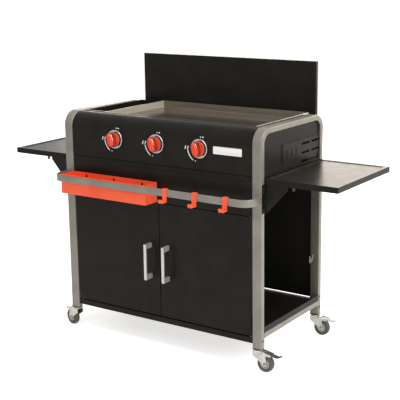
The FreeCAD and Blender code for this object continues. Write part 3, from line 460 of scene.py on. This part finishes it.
def plain_nodes():
    """Nodes whose CAD shape is right and only needs soft edges."""
    sheets = (
        "front_plinth",
        "rear_crossbar",
        "base_shelf",
        "front_apron",
        "control_panel",
        "vent_panel_left",
        "vent_panel_right",
        "lid",
        "lid_hinges",
        "shelf_gussets_left",
        "shelf_gussets_right",
        "grease_tray",
    )
    # material, edge in mm, segments of the edge, nodes
    finishes = (
        (BLACK, 0.45, 2, sheets),
        (BLACK, 0.7, 2, ("side_shelf_left", "side_shelf_right", "door_left", "door_right")),
        (ORANGE, 0.45, 2, ("tool_tray",)),
        (ORANGE, 0.9, 3, ("tool_hook_1", "tool_hook_2", "tool_hook_3")),
        (SATIN_SILVER, 2, 4, ("door_handle_left", "door_handle_right")),
        (SILVER, 0.45, 2, ("lower_side_rails",)),
        (GRIDDLE, 1, 3, ("griddle_plate",)),
        (DULL_BLACK, 0.45, 2, ("back_panel",)),
        (HEAT_PAINT, 0.4, 2, ("firebox",)),
        (STEEL, 0.4, 2, ("gas_burners", "gas_manifold", "door_pins_left", "door_pins_right")),
        (BRASS, 1, 2, ("gas_valves",)),
        (CERAMIC, 0.6, 2, ("spark_igniters",)),
        (BLACK_OXIDE, 0.8, 3, ("frame_screws",)),
        (BLACK_PLASTIC, 0.8, 2, ("leg_plugs", "door_catch")),
        (PEDAL_GREY, 0.9, 3, ("brake_pedal_front_right",)),
        (HUB_GREY, 0.9, 3, ("brake_pedal_rear_right",)),
        (ZINC, 0.6, 2, [f"caster_fork_{corner}" for corner in CASTER_TURN]),
        (STEEL, 0.5, 2, [f"valve_stem_{burner}" for burner in BURNERS]),
    )
    for material, edge, segments, nodes in finishes:
        for node in nodes:
            rounded(node, material, edge * MM, segments)


def side_frame(side):
    """A tube bent into an upside-down U, with round edges."""
    node = f"side_frame_{side}"
    low, high = low_high(node)
    x = middle(node).x
    half = TUBE_DEEP / 2
    front = low.y + half
    back = high.y - half
    top = high.z - half
    front_bend = Vector((x, low.y + FRAME_BEND, high.z - FRAME_BEND))
    back_bend = Vector((x, high.y - FRAME_BEND, high.z - FRAME_BEND))
    path = [Vector((x, front, low.z))]
    path += arc(front_bend, Vector((x, front, front_bend.z)), Vector((x, front_bend.y, top)))
    path += arc(back_bend, Vector((x, back_bend.y, top)), Vector((x, back, back_bend.z)))
    path.append(Vector((x, back, low.z)))
    section = rounded_rectangle(TUBE_WIDE, TUBE_DEEP, TUBE_EDGE)
    put(f"{node}_piece", sweep(node, path, X_AXIS, section), "cart", SILVER, node)


def front_crossbar():
    """The square tube under the control panel. Its round upper corner leaves a dark groove."""
    node = "front_crossbar"
    low, high = low_high(node)
    centre = middle(node)
    path = [Vector((low.x, centre.y, centre.z)), Vector((high.x, centre.y, centre.z))]
    tall = (high.z - low.z) / 2
    deep = (high.y - low.y) / 2
    section = [(-tall, CROSSBAR_EDGE - deep), (CROSSBAR_EDGE - tall, -deep)]
    for i in range(CROSSBAR_STEPS + 1):
        turn = QUARTER_TURN * i / CROSSBAR_STEPS
        up = tall - CROSSBAR_ROUND * (1 - math.sin(turn))
        section.append((up, CROSSBAR_ROUND * (1 - math.cos(turn)) - deep))
    section += [(tall, deep), (-tall, deep)]
    put(f"{node}_piece", sweep(node, path, Z_AXIS, section), "cart", BLACK, node)


def front_rail():
    """A flat bar bent round the front corners of the cart."""
    node = "front_rail"
    low, high = low_high(node)
    z = middle(node).z
    half = RAIL_THICK / 2
    left = low.x + half
    right = high.x - half
    front = low.y + half
    left_bend = Vector((low.x + RAIL_BEND, low.y + RAIL_BEND, z))
    right_bend = Vector((high.x - RAIL_BEND, low.y + RAIL_BEND, z))
    path = [Vector((left, high.y, z))]
    path += arc(left_bend, Vector((left, left_bend.y, z)), Vector((left_bend.x, front, z)))
    path += arc(right_bend, Vector((right_bend.x, front, z)), Vector((right, right_bend.y, z)))
    path.append(Vector((right, high.y, z)))
    section = rounded_rectangle(high.z - low.z, RAIL_THICK, RAIL_EDGE)
    put(f"{node}_piece", sweep(node, path, Z_AXIS, section), "cart", SILVER, node)


def knob(burner):
    """A dished round base in a dark collar, a chrome neck and an oval finger grip.

    The knob's own axes have Y along its shaft, into the panel, and Z along its grip.
    """
    node = f"knob_{burner}"
    body = BODY_OF[node]
    low, high = low_high(node)
    centre = middle(node)
    centre.y = high.y
    axes = Matrix.Translation(centre) @ Matrix.Rotation(-KNOB_LEAN, 4, "Y")
    collar = (high.x - low.x) / 2
    radius = collar - COLLAR_WALL

    profile = [(KNOB_BORE, 0), (radius, 0)]
    profile += [(radius - inward * MM, back * MM - KNOB_DISC) for inward, back in KNOB_RIM]
    profile.append((KNOB_BORE, KNOB_DISH - KNOB_DISC))
    put(f"{node}_base", lathe(f"{node}_base", profile, axes), body, ORANGE_PLASTIC, node)

    front = COLLAR_BACK - KNOB_DISC
    inner = radius - COLLAR_LAP
    edge_inward, edge_along = COLLAR_EDGE
    profile = [
        (inner, 0),
        (collar - edge_inward, 0),
        (collar, -edge_along),
        (collar, front + edge_along),
        (collar - edge_inward, front),
        (inner, front),
    ]
    mesh = lathe(f"{node}_collar", profile, axes)
    put(f"{node}_collar", mesh, body, BLACK_PLASTIC)

    foot = KNOB_DISC - KNOB_DISH - NECK_SINK
    reach = high.y - low.y - foot
    finger_part(f"{node}_neck", NECK_OVALS, foot, reach, axes, body, CHROME)
    finger_part(f"{node}_grip", GRIP_OVALS, foot, reach, axes, body, ORANGE_PLASTIC)


def finger_part(name, ovals, foot, reach, axes, body, material):
    """A smooth skin over ovals that stand one before the other along the knob's shaft."""
    build = bmesh.new()
    rings = []
    for share, wide, long in ovals:
        y = -foot - share * reach
        rings.append([build.verts.new((u, y, v)) for u, v in oval(wide * MM, long * MM)])
    skin(build, rings)
    mesh = finish_mesh(name, build)
    mesh.transform(axes)
    piece = put(name, mesh, body, material)
    piece.modifiers.new("round", "SUBSURF").render_levels = 2


def bezel_ring(burner):
    """A turned chrome cup round a knob."""
    node = "knob_bezels"
    low, high = low_high(node)
    centre = Vector((middle(f"knob_{burner}").x, high.y, middle(node).z))
    radius = (high.z - low.z) / 2
    deep = high.y - low.y
    profile = [(BEZEL_HOLE, 0), (radius, 0)]
    profile += [(radius - inward * MM, back * MM - deep) for inward, back in BEZEL_RIM]
    wall = profile[-1][0]
    profile += [(wall, -BEZEL_FLOOR), (BEZEL_HOLE, -BEZEL_FLOOR)]
    name = f"bezel_{burner}"
    put(name, lathe(name, profile, Matrix.Translation(centre)), "cart", CHROME, node)


def caster_axes(corner):
    """The wheel's own axes: Y along its axle, X the way it trails."""
    turn = Matrix.Rotation(math.radians(CASTER_TURN[corner]), 4, "Z")
    return Matrix.Translation(middle(f"tyre_{corner}")) @ turn


def wheel(corner):
    """A grooved tyre on a hub that is dished on both sides."""
    axes = caster_axes(corner)
    node = f"tyre_{corner}"
    hub_node = f"wheel_hub_{corner}"
    low, high = low_high(node)
    hub_low, hub_high = low_high(hub_node)
    radius = (high.z - low.z) / 2
    hub = (hub_high.z - hub_low.z) / 2
    half = [(hub + out * MM, inward * MM - TYRE_HALF) for out, inward in TYRE_AT_HUB]
    half += [(radius - down * MM, inward * MM - TYRE_HALF) for down, inward in TYRE_AT_TREAD]
    put(f"{node}_piece", lathe(node, mirrored(half), axes), BODY_OF[node], RUBBER, node)
    half = [(out * MM, inward * MM - HUB_HALF) for out, inward in HUB_AT_AXLE]
    half += [(hub - down * MM, inward * MM - HUB_HALF) for down, inward in HUB_AT_RIM]
    put(f"{hub_node}_piece", lathe(hub_node, mirrored(half), axes), BODY_OF[hub_node], HUB_GREY, hub_node)


def axle_nuts(corner):
    """A hexagon nut with a flange on each end of a wheel's axle."""
    axes = caster_axes(corner)
    body = BODY_OF[f"caster_fork_{corner}"]
    for letter, side in (("a", -1), ("b", 1)):
        name = f"axle_nut_{corner}_{letter}"
        profile = [(out * MM, side * (NUT_SEAT + along * MM)) for out, along in NUT_OUTLINE]
        put(name, lathe(name, profile, axes, steps=NUT_SIDES), body, DARK_STEEL)


def leg_clip():
    """A small clip with two prongs, on the inner corner of the rear right leg."""
    low, high = low_high("side_frame_right")
    corner = Vector((low.x, high.y - TUBE_DEEP, CLIP_BASE))
    path = [corner, corner - Vector((0, CLIP_THICK, 0))]
    section = [(across * MM, -up * MM) for across, up in CLIP_OUTLINE]
    mesh = sweep("leg_clip", path, X_AXIS, section)
    clip = put("leg_clip", mesh, "cart", PALE_PLASTIC)
    soften(clip, CLIP_EDGE, segments=2)


def top_trim():
    """The narrow black ledge between the griddle and the right tube."""
    low, high = low_high("side_frame_right")
    griddle = low_high("griddle_plate")[1].x
    wide = low.x - griddle - LEDGE_GAP
    x = low.x - wide / 2
    z = high.z - LEDGE_DROP
    path = [Vector((x, low.y + FRAME_BEND, z)), Vector((x, high.y - FRAME_BEND, z))]
    section = rounded_rectangle(wide, LEDGE_THICK, LEDGE_EDGE, steps=2)
    put("top_trim", sweep("top_trim", path, X_AXIS, section), "cart", BLACK)


def strip(name, points):
    """A thin printed stroke on the control panel, along points in X and Z."""
    face = low_high("control_panel")[0].y
    build = bmesh.new()
    rings = []
    for i, point in enumerate(points):
        ahead = Vector(points[min(i + 1, len(points) - 1)]) - Vector(points[max(i - 1, 0)])
        across = Vector((-ahead.y, ahead.x)).normalized() * (PRINT_WIDE / 2)
        left = Vector(point) + across
        right = Vector(point) - across
        corners = ((left, 0), (left, -PRINT_THICK), (right, -PRINT_THICK), (right, 0))
        rings.append([build.verts.new((at.x, face + proud, at.y)) for at, proud in corners])
    skin(build, rings)
    put(name, finish_mesh(name, build), "cart", PRINT)


def dial_marks(burner):
    """Plain marks round a knob: an arc and a dot, two slanted strokes, and a dot and a dash above."""
    centre = middle(f"knob_{burner}")
    turns = [math.radians(DIAL_START + DIAL_SWEEP * i / DIAL_STEPS) for i in range(DIAL_STEPS + 1)]
    round_stroke = [(DIAL_RADIUS * math.cos(turn), DIAL_RADIUS * math.sin(turn)) for turn in turns]
    for name, points in {"arc": round_stroke, **DIAL_STROKES}.items():
        path = [(centre.x + across * MM, centre.z + up * MM) for across, up in points]
        strip(f"dial_{name}_{burner}", path)


def bare_plate():
    """A plain metal plate on the control panel, with a raised rim."""
    centre = Vector((PLATE_X, low_high("control_panel")[0].y, PLATE_Z))
    build = bmesh.new()
    rings = []
    for inward, share in PLATE_RINGS:
        less = 2 * inward * MM
        section = rounded_rectangle(PLATE_WIDE - less, PLATE_TALL - less, PLATE_CORNER)
        rings.append([build.verts.new(centre + Vector((u, -PLATE_THICK * share, v))) for u, v in section])
    skin(build, rings)
    put("bare_plate", finish_mesh("bare_plate", build), "cart", PLATE)


# Stage


def seen_or_lighting(tree, seen, lighting):
    """One shader for what is seen directly, in a reflection or through glass, and one for other light."""
    path = tree.nodes.new("ShaderNodeLightPath")
    choice = path.outputs["Is Camera Ray"]
    for ray in ("Is Glossy Ray", "Is Transmission Ray"):
        either = tree.nodes.new("ShaderNodeMath")
        either.operation = "MAXIMUM"
        tree.links.new(choice, either.inputs[0])
        tree.links.new(path.outputs[ray], either.inputs[1])
        choice = either.outputs[0]
    mix = tree.nodes.new("ShaderNodeMixShader")
    tree.links.new(choice, mix.inputs[0])
    tree.links.new(lighting.outputs[0], mix.inputs[1])
    tree.links.new(seen.outputs[0], mix.inputs[2])
    return mix.outputs[0]


def pale_floor():
    """A pale floor that keeps the shadow, with a glow that is seen but lights nothing."""
    reach = 12
    pale = (0.86, 0.86, 0.855, 1)
    mesh = bpy.data.meshes.new("floor")
    corners = [(-reach, -reach, 0), (reach, -reach, 0), (reach, reach, 0), (-reach, reach, 0)]
    mesh.from_pydata(corners, [], [(0, 1, 2, 3)])
    floor = bpy.data.objects.new("floor", mesh)
    bpy.context.scene.collection.objects.link(floor)
    material = bpy.data.materials.new("pale_floor")
    material.use_nodes = True
    tree = material.node_tree
    paint = tree.nodes["Principled BSDF"]
    paint.inputs["Base Color"].default_value = pale
    paint.inputs["Roughness"].default_value = 0.9
    glow = tree.nodes.new("ShaderNodeEmission")
    glow.inputs["Strength"].default_value = 0.6
    glowing = tree.nodes.new("ShaderNodeAddShader")
    tree.links.new(paint.outputs[0], glowing.inputs[0])
    tree.links.new(glow.outputs[0], glowing.inputs[1])
    output = tree.nodes["Material Output"]
    tree.links.new(seen_or_lighting(tree, glowing, paint), output.inputs["Surface"])
    mesh.materials.append(material)


def white_world():
    """A world that is seen as white and lights the object less."""
    soft_white = (1, 0.985, 0.96, 1)
    world = bpy.data.worlds.new("studio")
    bpy.context.scene.world = world
    world.use_nodes = True
    tree = world.node_tree
    dim = tree.nodes["Background"]
    dim.inputs["Color"].default_value = soft_white
    dim.inputs["Strength"].default_value = 0.42
    white = tree.nodes.new("ShaderNodeBackground")
    white.inputs["Color"].default_value = (1, 1, 1, 1)
    white.inputs["Strength"].default_value = 1
    output = tree.nodes["World Output"]
    tree.links.new(seen_or_lighting(tree, white, dim), output.inputs["Surface"])


def lamp(name, place, size, power, colour=(1, 0.98, 0.95)):
    """A soft lamp that faces the middle of the cart. Places and sizes are in metres, power in watts."""
    target = Vector((0, 0, 0.6))
    light = bpy.data.lights.new(name, "AREA")
    light.shape = "RECTANGLE"
    light.size, light.size_y = size
    light.energy = power
    light.color = colour
    lamp_object = bpy.data.objects.new(name, light)
    lamp_object.location = place
    lamp_object.visible_camera = False
    aim = target - Vector(place)
    lamp_object.rotation_euler = aim.to_track_quat("-Z", "Y").to_euler()
    bpy.context.scene.collection.objects.link(lamp_object)


def lamps():
    """Four soft lamps: in front, on the right, above and behind."""
    lamp("key_lamp", (0.4, -3.6, 3.0), (2.6, 2.6), 42)
    lamp("right_lamp", (3.6, -0.1, 2.6), (2.2, 2.2), 95)
    lamp("top_lamp", (1.6, -0.4, 4.0), (3.0, 3.0), 85)
    lamp("back_lamp", (-0.6, 4.6, 1.7), (7.4, 2.4), 200, colour=(1, 0.88, 0.75))


def camera():
    """The photograph's viewpoint. Its place is measured in metres from the floor under the cart's middle."""
    place = Vector((2.2623, middle("side_frame_left").y - 3.2185, 1.4961))
    yaw = math.radians(33.57)
    pitch = math.radians(12.63)
    roll = math.radians(-0.54)
    image = 400
    focal_pixels = 985.8
    centre_pixels = Vector((218.6, 186.6))
    ahead = Vector((-math.sin(yaw) * math.cos(pitch), math.cos(yaw) * math.cos(pitch), -math.sin(pitch)))
    level = Vector((math.cos(yaw), math.sin(yaw), 0))
    upright = level.cross(ahead)
    right = level * math.cos(roll) + upright * math.sin(roll)
    up = upright * math.cos(roll) - level * math.sin(roll)
    data = bpy.data.cameras.new("photo_camera")
    data.sensor_width = 36
    data.lens = data.sensor_width * focal_pixels / image
    data.shift_x = (image / 2 - centre_pixels.x) / image
    data.shift_y = (centre_pixels.y - image / 2) / image
    view = bpy.data.objects.new("photo_camera", data)
    turn = Matrix((right, up, -ahead)).transposed().to_4x4()
    view.matrix_world = Matrix.Translation(place) @ turn
    bpy.context.scene.collection.objects.link(view)
    bpy.context.scene.camera = view


plain_nodes()
side_frame("left")
side_frame("right")
front_crossbar()
front_rail()
for burner in BURNERS:
    knob(burner)
    dial_marks(burner)
for burner in BURNERS:
    bezel_ring(burner)
for corner in CASTER_TURN:
    wheel(corner)
    axle_nuts(corner)
leg_clip()
top_trim()
bare_plate()
pale_floor()
white_world()
lamps()
camera()
bpy.context.scene.view_settings.view_transform = "Standard"
